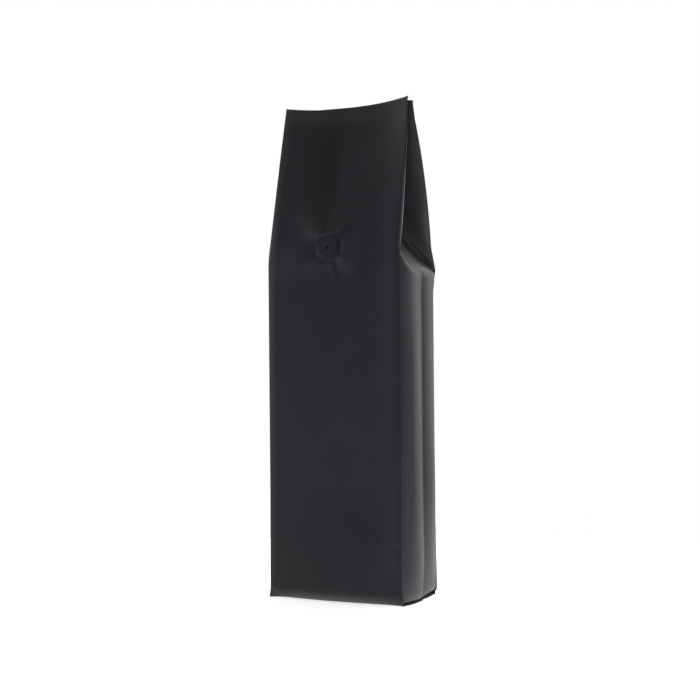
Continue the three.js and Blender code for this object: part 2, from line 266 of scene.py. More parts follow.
# Painted light on a band across the front's left shoulder.
SHOULDER_PALE = 0.22
SHOULDER_PALE_RISE = -2
SHOULDER_PALE_WIDTH = 9
SHOULDER_PALE_ACROSS = (-0.7, -0.4)
# Painted light along the front's right edge, less around 85 mm up.
NEAR_EDGE_PALE = 0.14
NEAR_EDGE_ACROSS = (0.55, 0.85, 0.9, 0.97)
NEAR_EDGE_START = (5, 30)
NEAR_EDGE_DIP = 0.7
NEAR_EDGE_DIP_AT = (85, 35)

# Painted shade: where the film is darkened as if it lay in the shade of its folds, its tuck and its pocket,
# and on the front.
GABLE_SHADE = 0.3
GABLE_SHADE_ACROSS = (-0.8, -0.25, -0.16, 0.02)
GABLE_SHADE_AT = (250, 28)
LOW_SHADE = 0.2
LOW_SHADE_HEIGHT = 150
LOW_SHADE_START = (2, 7)
LOW_LEFT_SHADE = 0.3
LOW_LEFT_HEIGHT = 50
LOW_LEFT_ACROSS = (-1, -0.3)
FLAP_SHADE = 0.75
# Painted shade high on the near fold, which also dims its sheen.
NEAR_FOLD_SHADE = 0.65
NEAR_FOLD_SHADE_HEIGHTS = (240, 252, 270, 278)
LOBE_HEIGHTS = (20, 60, 140, 175)
LOBE_SHADE = 0.35
LOBE_SHADE_AT = (0.31, 0.11)
SHELF_SHADE = 0.8
SHELF_SHADE_LEAST = 0.1
SHELF_SHADE_CLIMB = (-0.05, 0.5)
SHELF_SHADE_WIDTH = 0.35
POCKET_SHADE = 0.3
POCKET_RISE = 22
POCKET_WIDTH = 10
POCKET_ACROSS = (0, 0.5)

# Where the coat is pressed or rubbed smooth.
FOOT_RUB_HEIGHT = 7
FOLD_RUB = 0.2
SIDE_RUB_ACROSS = (0, 0.15)
FOOT_RUB_LOST = 0.6
FOOT_RUB_RIGHT = (0.6, 1)
FOOT_RUB_LEFT = (0.3, 0.9)
NEAR_FOLD_GLOSS = 0.9
NEAR_FOLD_GLOSS_AT = (216, 9)
CREST_GLOSS = (0.18, 0.3)
CREST_SHARES = (0.66, 0.54)
CREST_WIDTH = 0.08
SEAL_GLOSS = 0.28
SEAL_GLOSS_EASE = (-4, 6)
SEAL_GLOSS_ACROSS = (0, 0.8)
TOE_GLOSS = 0.6
TOE_GLOSS_PLACE = (-39.6, 3.8)
TOE_GLOSS_WIDTH = 1.6

# The stage in metres, the camera's sensor in millimetres, and the way to the room's dim side.
SENSOR_WIDTH = 36
FLOOR_CENTRE = (0.08, -0.1, -0.00005)
FLOOR_RADIUS = 0.42
FLOOR_SEGMENTS = 96
DIM_SIDE = (0.14, -0.92, 0.36)
DIM_RANGE = (-0.35, 0.7)
SOFTBOX_AIM = (0, 0, 0.14)
# Each softbox: name, place, size, power.
SOFTBOXES = (
    ("top_softbox", (0.15, 0.9, 1.2), 1.2, 7),
    ("left_softbox", (-1.25, -0.35, 0.4), 0.9, 0.6),
    ("front_softbox", (-0.1, -0.95, 0.85), 1.0, 0.85),
    ("right_softbox", (1.0, 1.0, 0.5), 1.0, 7.4),
)


def mix(a, b, t):
    """The value a share t of the way from a to b."""
    return a + (b - a) * t


def clamp(value, low, high):
    """The value kept between low and high."""
    return max(low, min(high, value))


def smoothstep(value, low, high):
    """0 below low and 1 above high, with an even bend between."""
    t = clamp((value - low) / (high - low), 0, 1)
    return t * t * (3 - 2 * t)


def between(value, start, full, fade, end):
    """1 between full and fade, 0 outside start and end, with even bends."""
    return smoothstep(value, start, full) * (1 - smoothstep(value, fade, end))


def bump(value, centre, width):
    """1 at the centre, dying away over the width to either side."""
    return math.exp(-(((value - centre) / width) ** 2))


def run(*legs):
    """Stations along a line, from legs of (start, end, pitch) that follow each other."""
    stations = []
    for start, end, pitch in legs:
        count = max(1, round(abs(end - start) / pitch))
        stations += [mix(start, end, step / count) for step in range(count)]
    return stations + [legs[-1][1]]


class FilmForm:
    """Where each point of the flat film lies once the pouch is folded, filled and sealed, in millimetres."""

    def __init__(self, sizes):
        self.half_panel = sizes.panel_width / MM / 2
        self.half_gusset = sizes.gusset_width / MM / 2
        self.half_depth = sizes.body_depth / MM / 2
        self.half_seal = sizes.seal_width / MM / 2
        self.height = sizes.height / MM
        self.shoulder = sizes.shoulder_height / MM
        self.seal_band = sizes.seal_band / MM
        self.seal_foot = self.height - self.seal_band
        self.shelf_top = self.shoulder + SHELF_RISE
        self.valve_at = (sizes.valve_across / MM, sizes.valve_height / MM)
        self.valve_radius = sizes.valve_diameter / MM / 2

    def lean(self, across, z):
        """How far a wall has turned from the body, 0, to the seal, 1."""
        soft = mix(PANEL_SOFTNESS, FOLD_SOFTNESS, across**2)
        above = clamp(z, self.shoulder - soft, self.seal_foot) - self.shoulder
        eased = (above + soft) ** 2 / (4 * soft) if above < soft else above
        return eased / (self.seal_foot - self.shoulder)

    def band(self, z):
        """0 below the seal, 1 at its top edge."""
        return clamp((z - self.seal_foot) / self.seal_band, 0, 1)

    def foot_spread(self, across, z):
        """How far the weight of the contents spreads a panel at the foot, least at its folds."""
        folds = abs(across) ** (RIGHT_SPREAD_POWER if across > 0 else LEFT_SPREAD_POWER)
        return FOOT_SPREAD * (1 - FOOT_SPREAD_LOST * folds) * (1 - smoothstep(z, 0, FOOT_SPREAD_HEIGHT))

    def half_width(self, z):
        """From the middle of a panel to its fold."""
        return mix(self.half_panel, self.half_seal, self.lean(1, z))

    def foot_inset(self, depth, height, z):
        """How far a wall curls under at height z, on a quarter of an ellipse."""
        below = clamp(1 - z / height, 0, 1)
        return depth * (1 - math.sqrt(1 - below**2))

    def seal_line(self, across, z):
        """The y of the seal's bowed middle line, with its lip bent back on the right."""
        swing = SEAL_SWING + SEAL_TWIST * self.band(z)
        lip = clamp((z - self.height + LIP_HEIGHT) / LIP_HEIGHT, 0, 1) ** 2 * smoothstep(across, *LIP_ACROSS)
        return SEAL_MIDDLE + swing * across + SEAL_BOW * across**2 + LIP_BEND * lip

    def seal_opening(self, across, z):
        """Half the gap between the two walls at the open ends of the seal."""
        split = mix(FOOT_SPLIT, TOP_SPLIT, self.band(z)) / 2
        closed = 1 - self.half_gusset / self.half_seal
        return split * clamp((abs(across) - closed) / (1 - closed), 0, 1) ** SPLIT_POWER

    def forward(self, across, z):
        """How far the front panel stands forward of the body's plain depth."""
        corner = FOOT_CORNER_FORWARD * max(across, 0) ** 2 * (1 - smoothstep(z, 0, FOOT_CORNER_HEIGHT))
        toe = LEFT_TOE * max(-across, 0) ** FOLD_POWER * (1 - smoothstep(z, 0, LEFT_TOE_HEIGHT))
        ear = max(across, 0) ** FOLD_POWER * bump(z, self.shoulder + FRONT_EAR_RISE, FRONT_EAR_WIDTH)
        return mix(*FRONT_FORWARD, (across + 1) / 2) + corner + toe + FRONT_EAR * ear

    def left_curl(self, face, across, z):
        """How far the left edge of the front curls back."""
        if face == BACK:
            return 0
        edge = clamp((-across - LEFT_CURL_FROM) / (1 - LEFT_CURL_FROM), 0, 1)
        curled = between(z, *LEFT_CURL_START, self.seal_foot - LEFT_CURL_FADE, self.seal_foot)
        return LEFT_CURL * edge**2 * curled

    def right_toe(self, face, across, z):
        """The near foot of the right fold turns outwards on the floor."""
        if face == BACK:
            return 0
        return RIGHT_TOE * max(across, 0) ** FOLD_POWER * (1 - smoothstep(z, 0, RIGHT_TOE_HEIGHT))

    def back_ear(self, face, across, z):
        """How much the back panel's folds stand out where they turn at the shoulder, 0 to 1."""
        if face == FRONT:
            return 0
        above = z - self.shoulder
        return across**SHOULDER_EAR_POWER * max(1 - abs(above) / SHOULDER_EAR_REACH[above > 0], 0)

    def foot_ear(self, face, across, z):
        """The back panel's right corner flares at the foot."""
        if face == FRONT:
            return 0
        return FOOT_EAR * max(across, 0) ** FOLD_POWER * between(z, *FOOT_EAR_HEIGHTS)

    def gable(self, z):
        """1 on the walls between the shoulder and the seal, 0 on both."""
        start, fade = GABLE_EASE
        return between(z, self.shoulder - start, self.shoulder + start, self.seal_foot - fade, self.seal_foot)

    def panel_y(self, face, across, z):
        """The y of a panel before its fine relief, from the filled body at its foot to the seal."""
        filled = mix(FILL_START, 1, smoothstep(z, 0, self.shoulder * FILL_SHARE))
        swell = (FRONT_SWELL if face == FRONT else BACK_SWELL) * filled * (1 - across**2)
        rounds = zip(FOOT_ROUND, CORNER_ROUND)
        inset = self.foot_inset(*(mix(foot, corner, across**FOLD_POWER) for foot, corner in rounds), z)
        ears = SHOULDER_EAR[1] * self.back_ear(face, across, z) + self.foot_ear(face, across, z)
        out = self.half_depth + self.foot_spread(across, z) + swell - inset + ears
        out += self.forward(across, z) if face == FRONT else 0
        seal = self.seal_line(across, z) + face * (self.seal_opening(across, z) + FILM_EDGE)
        leant = self.lean(across, z)
        bow = (FRONT_BOW if face == FRONT else BACK_BOW) * max(across, 0) ** 2 * 4 * leant * (1 - leant)
        return mix(face * out, seal, leant) + bow + self.left_curl(face, across, z)

    def near_shoulder(self, z):
        """1 at the shoulder, 0 well below it and at the foot of the seal."""
        return between(z, self.shoulder - SHOULDER_REACH, self.shoulder, self.shoulder, self.seal_foot)

    def panel_rise(self, face, across, z):
        """The right shoulder of the front stands higher than that of the back."""
        corner = FRONT_CORNER_RISE if face == FRONT else -BACK_CORNER_FALL
        return corner * max(across, 0) ** SHOULDER_POWER * self.near_shoulder(z)

    def top_rise(self, face, across, z):
        """The top edge dips between its corners, and lowest at the back's right corner."""
        dip = (TOP_DIP + TOP_DIP_SKEW * across) * (1 - across**2)
        corner = FRONT_TOP_RISE if face == FRONT else -BACK_TOP_DROP
        return self.band(z) * (corner * max(across, 0) ** TOP_CORNER_POWER - dip)

    def gusset_rise(self, side, face, q, z):
        """The edge of the shelf sags between the corners of the shoulder."""
        below, above = SAG_REACH
        near = between(z, self.shoulder - below, self.shoulder, self.shoulder, self.shoulder + above)
        if side == LEFT:
            return -LEFT_SAG * (1 - (1 - q) ** 2) * near
        corner = max(1 - q / FRONT_CORNER_WIDTH, 0) ** 2 if face == FRONT else 1 - q
        return mix(-RIGHT_SAG * near, self.panel_rise(face, RIGHT, z), corner)

    def valve_rays(self, rays, x, z):
        """The sum of the rays of angle, length, width and strength that run out from the valve."""
        dx, dz = x - self.valve_at[0], z - self.valve_at[1]
        r, angle = math.hypot(dx, dz), math.atan2(dz, dx)
        beyond = r - self.valve_radius
        if r > PUCKER_REACH * self.valve_radius:
            return 0
        total = 0
        for degrees, length, width, strength in rays:
            turn = math.remainder(angle - math.radians(degrees), math.tau)
            if abs(turn) < math.pi / 2:
                fade = between(beyond, *PUCKER_START, PUCKER_FULL, length)
                total += strength * fade * bump(r * math.sin(turn), 0, width * (1 + beyond / PUCKER_SPREAD))
        return total

    def valve_pucker(self, x, z):
        """The film's own relief round the valve: its seat, and the puckers that run out from it."""
        r = math.hypot(x - self.valve_at[0], z - self.valve_at[1])
        wide, tight = SEAT_MARGIN
        if r < self.valve_radius - tight:
            return -SEAT_DEPTH * (1 - smoothstep(r, self.valve_radius - wide, self.valve_radius - tight))
        return self.valve_rays(PUCKERS, x, z)

    def valve_light_and_shade(self, across, z):
        """How much light is painted on the front film round the valve, and below 0 how much shade."""
        return self.valve_rays(PUCKER_LIGHT_AND_SHADE, across * self.half_width(z), z)

    def film_waves(self, waves, across, z):
        """The soft unevenness of a panel, which dies away at its foot and its folds."""
        x = across * self.half_width(z)
        share = smoothstep(z, *WAVES_START) * (1 - smoothstep(abs(across), *WAVES_EDGE))
        heights = (high * noise.noise(Vector((x / wide, at, z / tall))) for high, wide, tall, at in waves)
        return share * sum(heights)

    def fold_wrinkle(self, x, z):
        """How deep the short wrinkle near the foot of the right fold is."""
        along = (x - WRINKLE_X) / WRINKLE_LENGTH
        if not 0 < along < WRINKLE_END:
            return 0
        deep = WRINKLE_DEPTH * smoothstep(along, *WRINKLE_START)
        return deep * bump(z, mix(*WRINKLE_HEIGHTS, along), WRINKLE_WIDTH)

    def panel_relief(self, face, across, z):
        """How far a panel's film stands out from its plain form below the seal."""
        if face == BACK:
            return self.film_waves(BACK_WAVES, across, z)
        x = across * self.half_width(z)
        return self.valve_pucker(x, z) + self.film_waves(FRONT_WAVES, across, z) - self.fold_wrinkle(x, z)

    def seal_relief(self, across, z):
        """Fine ribs pressed into the seal, and the crease along its foot."""
        inside = z - self.seal_foot
        if inside < -SEAL_CREASE_REACH:
            return 0
        fade, end = RIB_END
        pressed = between(inside, *RIB_START, self.seal_band - fade, self.seal_band - end)
        pressed *= 1 - smoothstep(across, *RIB_ACROSS)
        ribs = RIB_DEPTH * pressed * math.cos(math.tau * inside / RIB_PITCH)
        crease = SEAL_CREASE_DEPTH * bump(inside, 0, SEAL_CREASE_WIDTH)
        return ribs - crease * (1 - abs(across) ** SEAL_CREASE_POWER)

    def panel_point(self, face, across, z, proud=0):
        """A point of a panel with its relief, standing proud of it where the seam laps over."""
        relief = self.panel_relief(face, across, z) + self.seal_relief(across, z)
        edge = clamp((abs(across) - EDGE_ROLL_FROM) / (1 - EDGE_ROLL_FROM), 0, 1)
        roll = EDGE_ROLL if across > 0 else mix(*LEFT_ROLL, smoothstep(z, 0, self.shoulder))
        relief -= roll * edge**3 * (1 - self.lean(across, z)) * smoothstep(z, *EDGE_ROLL_START)
        y = self.panel_y(face, across, z) + face * (proud + relief)
        rise = self.panel_rise(face, across, z) + self.top_rise(face, across, z)
        flare = SHOULDER_EAR[0] * self.back_ear(face, across, z) + self.right_toe(face, across, z)
        flare += LEFT_CURL_FLARE * self.left_curl(face, across, z)
        x = across * (self.half_width(z) + flare)
        return Vector((x, y, z + rise))

    def fold_reach(self, side, z):
        """How far in from the fold the gusset's crease lies."""
        opening = (self.panel_y(BACK, side, z) - self.panel_y(FRONT, side, z)) / 2
        return math.sqrt(self.half_gusset**2 - opening**2)

    def climb(self, z):
        """0 below the shelf, 1 at its top, with a rounded start."""
        above = z - self.shoulder
        if above < -SHELF_ROUND:
            return 0
        eased = (above + SHELF_ROUND) ** 2 / (4 * SHELF_ROUND) if above < SHELF_ROUND else above
        return 1 - (1 - eased / SHELF_RISE) ** SHELF_CURVE

    def gusset_point(self, side, face, q, z):
        """A point of a gusset, with q 0 at the panel's fold and 1 at the middle crease."""
        width = self.half_width(z)
        front_y, back_y = self.panel_y(FRONT, side, z), self.panel_y(BACK, side, z)
        edge = mix(FILM_EDGE, FOLD_EDGE, self.gable(z))
        fold_y = (front_y if face == FRONT else back_y) - face * edge
        middle = (front_y + back_y + self.forward(side, z) * (1 - self.lean(side, z))) / 2
        across = side
        if z < self.shelf_top:
            outward, y = self.filled_gusset(side, face, q, z, fold_y, middle)
        else:
            reach = self.fold_reach(side, z)
            outward = -reach * q
            across = side * (1 + outward / width)
            centre = side * (1 - reach / width)
            tip = (self.panel_y(FRONT, centre, z) + self.panel_y(BACK, centre, z)) / 2
            front_wall = max(mix(front_y + edge, tip, q), self.panel_y(FRONT, across, z) + FILM_EDGE)
            back_wall = min(mix(back_y - edge, tip, q), self.panel_y(BACK, across, z) - FILM_EDGE)
            gap = max(back_wall - front_wall, 0)
            bow = min(self.wall_bow(side, face, q, 1, z), WALL_BOW_SHARE * gap)
            outward += bow / 2
            y = (front_wall if face == FRONT else back_wall) - face * bow
        outward += SHOULDER_EAR[0] * self.back_ear(face, side, z) * (1 - q) ** 3
        outward += self.right_toe(face, side, z) * (1 - q)
        lift = SIDE_LIFT * q**2 + (BACK_LIFT * 4 * q * (1 - q) if face == BACK else 0)
        lift *= min(z / TUCK[3], 1) * (1 - smoothstep(z, TUCK[3], BODY_FOOT))
        rise = self.gusset_rise(side, face, q, z)
        drop = mix(self.top_rise(FRONT, across, z), self.top_rise(BACK, across, z), 0.5 + face * (1 - q) / 2)
        return Vector((side * (width + outward), y, z + lift + rise + drop))

    def filled_gusset(self, side, face, q, z, fold_y, middle):
        """How far the gusset stands out from its fold, and its y, on the lobes and the shelf."""
        climb = self.climb(z)
        past = clamp((q - climb) / (1 - climb), 0, 1)
        outward = -self.fold_reach(side, self.shelf_top) * min(q, climb)
        filled = mix(SIDE_FILL_START, 1, smoothstep(z, 0, SIDE_FILL_HEIGHT))
        filled *= 1 - smoothstep(z, self.shoulder + LOBE_FADE[0], self.shoulder + LOBE_FADE[1])
        low = 1 - smoothstep(z, 0, FOOT_FLAT_HEIGHT)
        lobe = LOBE_SWELL * (1 - FOOT_FLAT_BACK * low * (face == BACK))
        outward += filled * (CREASE_SWELL * past + lobe * 4 * past * (1 - past))
        outward -= self.foot_inset(*SIDE_ROUND, max(z - FLAP_TOP, 0)) * smoothstep(z, FLAP_TOP, TUCK[1])
        outward -= TUCK_DEPTH * q * between(z, *TUCK)
        if not climb:
            return outward, mix(fold_y, middle, q)
        corner_y = self.panel_y(face, side, self.shoulder) - face * FILM_EDGE
        diagonal_y = mix(corner_y, middle, climb)
        if q >= climb:
            return outward, mix(diagonal_y, middle, past)
        bow = self.wall_bow(side, face, q, climb, z)
        return outward + bow / 2, mix(fold_y, diagonal_y, q / climb) - face * bow

    def wall_bow(self, side, face, q, top, z):
        """How far a gusset's wall bows into the fold's pocket, with a second crease beside the shelf."""
        share = q / top
        bow = WALL_BOW * top * WALL_BOW_PEAK * share * (1 - share) ** 2
        if side == RIGHT and face == BACK:
            above = (self.climb(min(z, self.shelf_top)) - q) * self.half_gusset
            near = 1 - smoothstep(z, self.shelf_top, self.shelf_top + SECOND_CREASE_FADE)
            bow += SECOND_CREASE_PROUD * bump(above, SECOND_CREASE, SECOND_CREASE_WIDTH) * near * (1 - q)
        return bow

    def wall_point(self, station, z):
        """The film's point at one station round the pouch and one height."""
        return self.folded_point(station, z) + Vector((SEAL_ASIDE * self.lean(1, z), 0, 0))

    def folded_point(self, station, z):
        """The film's point before the seal's shift to the right."""
        kind, *place = station
        if kind == "panel":
            return self.panel_point(*place[:2], z, place[2] * smoothstep(z, FLAP_TOP, BODY_FOOT))
        if kind == "gusset":
            return self.gusset_point(*place, z)
        side, face, share = place
        point = self.panel_point(face, side, z).lerp(self.gusset_point(side, face, 0, z), share)
        roll = mix(*FOLD_ROUND, self.gable(z)) * math.sqrt(1 - (2 * share - 1) ** 2)
        return point + Vector((side * roll, 0, 0))

    def film_point(self, station, level):
        """The film's point at one station and level: a height, or a share of the way out across the base."""
        where, value = level
        if where == "wall":
            return self.wall_point(station, value)
        point = self.wall_point(station, 0)
        rise = BASE_SEAM_RISE * (1 - smoothstep(value, BASE_SLIT, BASE_SEAM))
        if point.y <= 0 or value >= BASE_FIN:
            rise += BASE_PANEL_RISE * between(value, *BASE_PANEL)
        rise *= 1 - smoothstep(abs(point.x), *BASE_FLAPS)
        return Vector((point.x * mix(BASE_INSET, 1, value), point.y * value, rise))


def side_stations(form, side, first, last):
    """Stations across one gusset, from its fold with the first panel to its fold with the last."""
    half = form.half_gusset
    steps = run((0, 1.2, 0.4), (1.2, 6, 0.8), (6, 22, 1.3), (22, 25.2, 0.8), (25.2, half, 0.27))
    stations = [("fold", side, first, share) for share in FOLD_SHARES]
    stations += [("gusset", side, first, step / half) for step in steps]
    stations += [("gusset", side, last, step / half) for step in steps[-2::-1]]
    return stations + [("fold", side, last, share) for share in reversed(FOLD_SHARES)]


def web_stations(form):
    """Stations across the flat film, from its seam on the back once round the pouch to the seam again."""
    edge = form.half_panel
    valve = form.valve_at[0]
    seam_left, seam_right = FIN
    left_back = run(
        (seam_left - FIN_STEP, seam_left - 4, 0.9),
        (seam_left - 4, -edge + 4, 2.2),
        (-edge + 4, -edge, 0.8),
    )
    front = run(
        (-edge, -edge + 1.2, 0.4),
        (-edge + 1.2, -edge + 6, 0.8),
        (-edge + 6, valve - 24, 1.6),
        (valve - 24, valve + 22, 0.55),
        (valve + 22, edge - 11, 1.4),
        (edge - 11, edge - 1.2, 0.7),
        (edge - 1.2, edge, 0.4),
    )
    right_back = run(
        (edge, edge - 4, 0.8),
        (edge - 4, seam_right + 3, 2.2),
        (seam_right + 3, seam_right + FIN_STEP, 0.8),
    )
    fin = run((seam_right, seam_left, 1.1))
    stations = [("panel", BACK, x / edge, 0) for x in left_back]
    stations += side_stations(form, LEFT, BACK, FRONT)
    stations += [("panel", FRONT, x / edge, 0) for x in front]
    stations += side_stations(form, RIGHT, FRONT, BACK)
    stations += [("panel", BACK, x / edge, 0) for x in right_back]
    stations += [("panel", BACK, x / edge, FIN_PROUD) for x in fin]
    return stations + stations[:1]


def web_levels(form):
    """Levels up the flat film, from the middle of the base to the top edge."""
    base = [BASE_SLIT, 0.08, 0.3, BASE_FIN - 0.01, BASE_FIN + 0.02, 0.8, 0.9, 0.98]
    foot = [0, 0.3, FLAP_TOP, TUCK[1], 1.05, TUCK[2], TUCK[3], 2.1, 2.8, 3.6, 4.5, 5.5, 6.5, 8, 10]
    valve = form.valve_at[1]
    walls = run(
        (BODY_FOOT, 28, 2),
        (28, 41, 0.8),
        (41, 165, 2.4),
        (165, valve - 22, 1.6),
        (valve - 22, valve + 24, 0.55),
        (valve + 24, form.seal_foot - 4, 1.6),
        (form.seal_foot - 4, form.seal_foot, 0.4),
        (form.seal_foot, form.height, 0.3),
    )
    return [("base", share) for share in base] + [("wall", z) for z in foot + walls]


def fold_film(form):
    """A flat web of film, folded into the pouch and closed at its seam, its base and its top."""
    stations, levels = web_stations(form), web_levels(form)
    web = bmesh.new()
    columns, rows = len(stations) - 1, len(levels) - 1
    bmesh.ops.create_grid(web, x_segments=columns, y_segments=rows, size=0.5)
    wear_and_light = web.verts.layers.float.new("wear_and_painted_light")
    shade = web.verts.layers.float.new("own_shade")
    rub = web.verts.layers.float.new("burnish")
    for vert in web.verts:
        station = stations[round((vert.co.x + 0.5) * columns)]
        level = levels[round((vert.co.y + 0.5) * rows)]
        vert[wear_and_light] = wear_and_painted_light(form, station, level)
        vert[shade] = own_shade(form, station, level)
        vert[rub] = burnish(form, station, level)
        vert.co = form.film_point(station, level) * MM
    bmesh.ops.remove_doubles(web, verts=web.verts, dist=MERGE * MM)
    rims = [edge for edge in web.edges if edge.is_boundary]
    middle = form.height * MM / 2
    for facing in (-1, 1):
        rim = [edge for edge in rims if (edge.verts[0].co.z - middle) * facing > 0]
        bmesh.ops.triangle_fill(web, use_beauty=True, edges=rim, normal=(0, 0, facing))
    bmesh.ops.recalc_face_normals(web, faces=web.faces)
    for face in web.faces:
        face.smooth = True
    for edge in rims:
        edge.smooth = False
    return web


def fold_sharpness(form, side, face, z):
    """How hard a fold is creased, and so how pale it is, partly as a painted highlight: softly on the body,
    harder on the gable and hardest near the camera.
    """
    gable = smoothstep(z, form.shoulder - FOLD_PALE_EASE, form.shoulder + FOLD_PALE_EASE)
    if side == RIGHT and face == FRONT:
        return mix(FOLD_WHITENING_AND_HIGHLIGHT[0], 1, gable) * (1 - NEAR_FOLD_FADE * smoothstep(z, *NEAR_FOLD_HEIGHTS))
    return mix(*FOLD_WHITENING_AND_HIGHLIGHT, gable)


def gusset_pale(form, side, face, q, z):
    """How pale a gusset is: whitened at its folds, partly a painted highlight, with painted light over its
    shelf, a painted highlight along its foot and painted light on the flap behind the gable.
    """
    fold = fold_sharpness(form, side, face, z) * bump(q * form.half_gusset, 0, FOLD_PALE_WIDTH)
    crease = CREASE_WEAR * bump(q * form.half_gusset, form.half_gusset, FOLD_PALE_WIDTH)
    climb = form.climb(clamp(z, form.shoulder, form.shelf_top))
    shelf = SHELF_CREASE_LIGHT * between(climb, *SHELF_CREASE_LIGHT_CLIMB) * bump(q, climb, SHELF_CREASE_LIGHT_WIDTH)
    shelf *= q < climb + ON_CREASE
    foot = FOOT_EDGE_HIGHLIGHT * bump(z, TUCK[3] + FOOT_EDGE_HIGHLIGHT_WIDTH / 2, FOOT_EDGE_HIGHLIGHT_WIDTH)
    flap = FAR_FLAP_PALE * (1 - smoothstep(q, *FAR_FLAP_ACROSS)) * smoothstep(z, *FAR_FLAP_HEIGHTS)
    flap *= side == RIGHT and face == BACK
    return max(fold, crease, shelf, foot, flap)


def panel_pale(form, face, across, z):
    """How pale a panel is at its folds, partly a painted highlight, and on the front the painted light along
    its left edge, its left shoulder, its right edge and round the valve.
    """
    sharp = fold_sharpness(form, RIGHT if across > 0 else LEFT, face, z)
    aside = (1 - abs(across)) * form.half_panel
    fold = sharp * bump(aside, 0, FOLD_PALE_WIDTH)
    if face == BACK:
        return fold
    left = LEFT_EDGE_HIGHLIGHT * sharp * bump(aside, 0, LEFT_EDGE_HIGHLIGHT_WIDTH) * (across < 0)
    shoulder = SHOULDER_PALE * bump(z, form.shoulder + SHOULDER_PALE_RISE, SHOULDER_PALE_WIDTH)
    shoulder *= 1 - smoothstep(across, *SHOULDER_PALE_ACROSS)
    right = NEAR_EDGE_PALE * between(across, *NEAR_EDGE_ACROSS) * smoothstep(z, *NEAR_EDGE_START)
    right *= 1 - NEAR_EDGE_DIP * bump(z, *NEAR_EDGE_DIP_AT)
    return max(fold, left, shoulder, right, form.valve_light_and_shade(across, z))


def wear_and_painted_light(form, station, level):
    """How pale the film is, 0 to 1: whitened where folded hard, with painted highlights on its edges and
    painted light on its shelf, flap and front.
    """
    where, value = level
    if where == "base":
        return 0
    top = TOP_EDGE_HIGHLIGHT * smoothstep(value, form.height - TOP_EDGE_HIGHLIGHT_HEIGHT, form.height)
    kind, *place = station
    if kind == "fold":
        return max(top, fold_sharpness(form, *place[:2], value))
    if kind == "gusset":
        return max(top, gusset_pale(form, *place, value))
    return max(top, panel_pale(form, *place[:2], value))


def front_shade(form, across, z):
    """How much shade is painted on the front: on the gable left of the middle, low down and most on the left,
    and between the valve's puckers.
    """
    gable = GABLE_SHADE * between(across, *GABLE_SHADE_ACROSS) * bump(z, *GABLE_SHADE_AT)
    low = LOW_SHADE * (1 - smoothstep(z, 0, LOW_SHADE_HEIGHT))
    left = LOW_LEFT_SHADE * (1 - smoothstep(z, 0, LOW_LEFT_HEIGHT))
    low += left * (1 - smoothstep(across, *LOW_LEFT_ACROSS))
    return max(gable, low * smoothstep(z, *LOW_SHADE_START), -form.valve_light_and_shade(across, z))


def gusset_shade(form, side, face, q, z):
    """How much shade is painted on a gusset: across the middle of its near lobe, on its shelf and in the
    pocket over it.
    """
    if z < form.shoulder:
        near = side == RIGHT and face == FRONT
        return near * LOBE_SHADE * bump(q, *LOBE_SHADE_AT) * between(z, *LOBE_HEIGHTS)
    climb = form.climb(min(z, form.shelf_top))
    if q > climb + ON_CREASE:
        deep = mix(SHELF_SHADE_LEAST, 1, smoothstep(q - climb, 0, SHELF_SHADE_WIDTH))
        return SHELF_SHADE * smoothstep(climb, *SHELF_SHADE_CLIMB) * deep
    return POCKET_SHADE * smoothstep(q, *POCKET_ACROSS) * bump(z, form.shoulder + POCKET_RISE, POCKET_WIDTH)


def own_shade(form, station, level):
    """How much shade is painted on the film, 0 to 1: in its tuck at the foot, its folds and pocket, and on
    the front.
    """
    where, value = level
    kind, *place = station
    if where == "base":
        return 0
    if kind == "panel":
        return front_shade(form, place[1], value) if place[0] == FRONT else 0
    # Painted shade in the tuck along the foot, a little less on the flap under it.
    tuck = mix(FLAP_SHADE, 1, smoothstep(value, FLAP_TOP / 2, FLAP_TOP))
    tuck *= 1 - smoothstep(value, TUCK[2], TUCK[3])
    if kind == "gusset":
        return max(tuck, gusset_shade(form, *place, value))
    near = place[:2] == [RIGHT, FRONT]
    return max(tuck, near * NEAR_FOLD_SHADE * between(value, *NEAR_FOLD_SHADE_HEIGHTS))


def crest_gloss(side, face, q, z):
    """How smooth the right gusset is rubbed along the crests of its two lobes."""
    if side == LEFT:
        return 0
    back = face == BACK
    return CREST_GLOSS[back] * bump(q, CREST_SHARES[back], CREST_WIDTH) * between(z, *LOBE_HEIGHTS)


def burnish(form, station, level):
    """How much the coat is pressed or rubbed smooth, in the seal and where the film turns under, 0 to 1."""
    where, value = level
    if where == "base":
        return 0
    kind, *place = station
    foot = (1 - smoothstep(value, 0, FOOT_RUB_HEIGHT)) * (1 - own_shade(form, station, level))
    if kind == "fold":
        near = place[:2] == [RIGHT, FRONT]
        return max(FOLD_RUB * foot, near * NEAR_FOLD_GLOSS * bump(value, *NEAR_FOLD_GLOSS_AT))
    if kind == "gusset":
        return max(foot * smoothstep(place[2], *SIDE_RUB_ACROSS), crest_gloss(*place, value))
    face, across, _ = place
    seal = SEAL_GLOSS * smoothstep(value - form.seal_foot, *SEAL_GLOSS_EASE)
    seal *= 1 - smoothstep(across, *SEAL_GLOSS_ACROSS)
    toe_x, toe_z = TOE_GLOSS_PLACE
    toe = bump(across * form.half_panel, toe_x, TOE_GLOSS_WIDTH) * bump(value, toe_z, TOE_GLOSS_WIDTH)
    foot *= 1 - FOOT_RUB_LOST * (smoothstep(across, *FOOT_RUB_RIGHT) + smoothstep(-across, *FOOT_RUB_LEFT))
    return max(foot, seal, TOE_GLOSS * toe * (face == FRONT))


